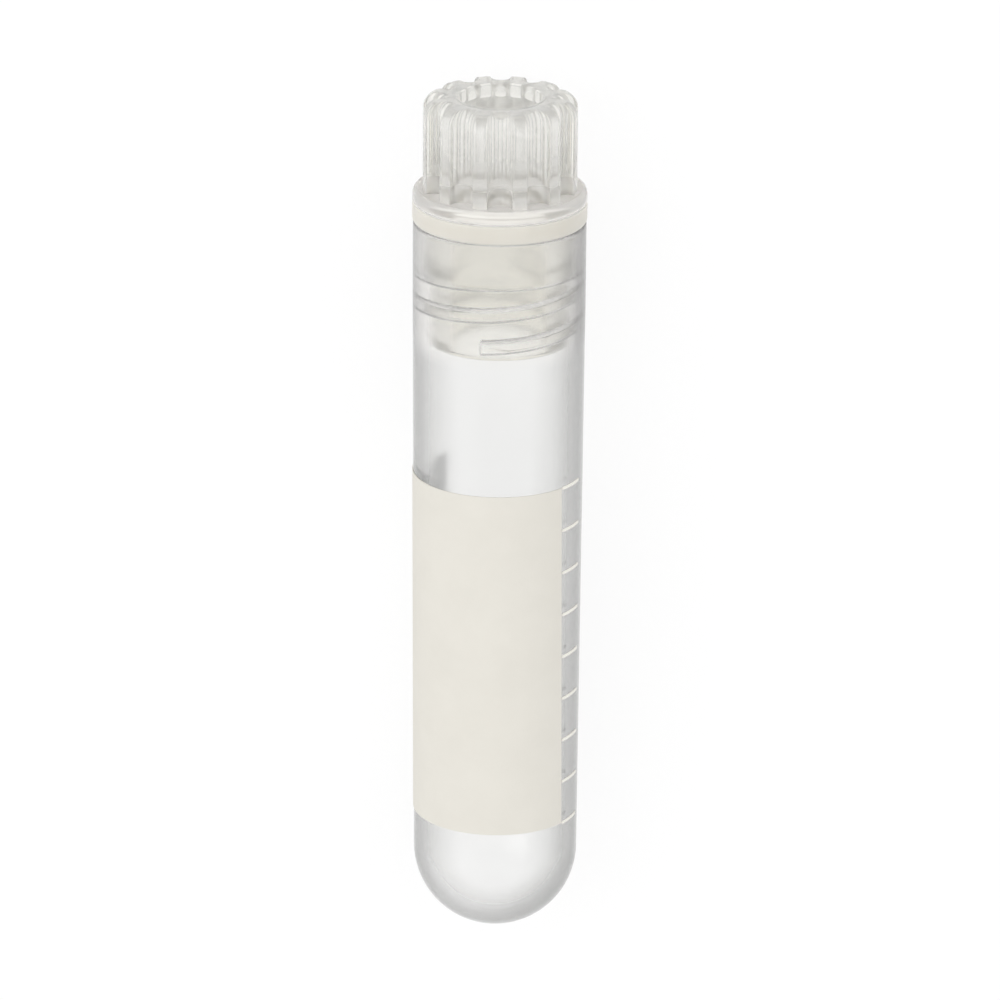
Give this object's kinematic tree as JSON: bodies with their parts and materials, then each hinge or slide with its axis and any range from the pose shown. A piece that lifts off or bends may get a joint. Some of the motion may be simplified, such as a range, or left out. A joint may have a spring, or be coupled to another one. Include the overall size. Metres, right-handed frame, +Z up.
{
  "type": "cryovial",
  "caption": "Clear round-bottomed storage tube for frozen samples, with a fluted screw cap, a seal washer, a white writing patch and printed volume marks.",
  "frame": {"origin": "centre of the footprint, on the surface the vial lies on", "axes": "+Y along the vial, from the round bottom to the cap; +Z up, through the middle of the writing patch's front; +X towards the volume marks"},
  "size_m": [0.0125, 0.0634, 0.0125],
  "materials": {
    "clear_plastic": "gloss, clear",
    "cap_plastic": "gloss, clear",
    "seal_rubber": "satin, milky",
    "patch_ink": "matt, warm white",
    "mark_ink": "matt, white"
  },
  "bodies": {
    "vial": {"vial_tube": "clear_plastic", "marking_patch": "patch_ink", "graduation_marks": "mark_ink"},
    "seal": {"seal_washer": "seal_rubber"},
    "cap": {"screw_cap": "cap_plastic"}
  },
  "joints": [
    {"name": "cap_lift", "type": "slide", "parent": "vial", "child": "seal", "axis": [0, 1, 0], "range_m": [0, 0.0096]},
    {"name": "cap_turn", "type": "hinge", "parent": "seal", "child": "cap", "pos_m": [0, 0.0225, 0.00625], "axis": [0, 1, 0], "range_deg": [0, 1440]}
  ],
  "couplings": [
    {"joint": "cap_turn", "follows": "cap_lift", "rad_per_m": 2618}
  ]
}
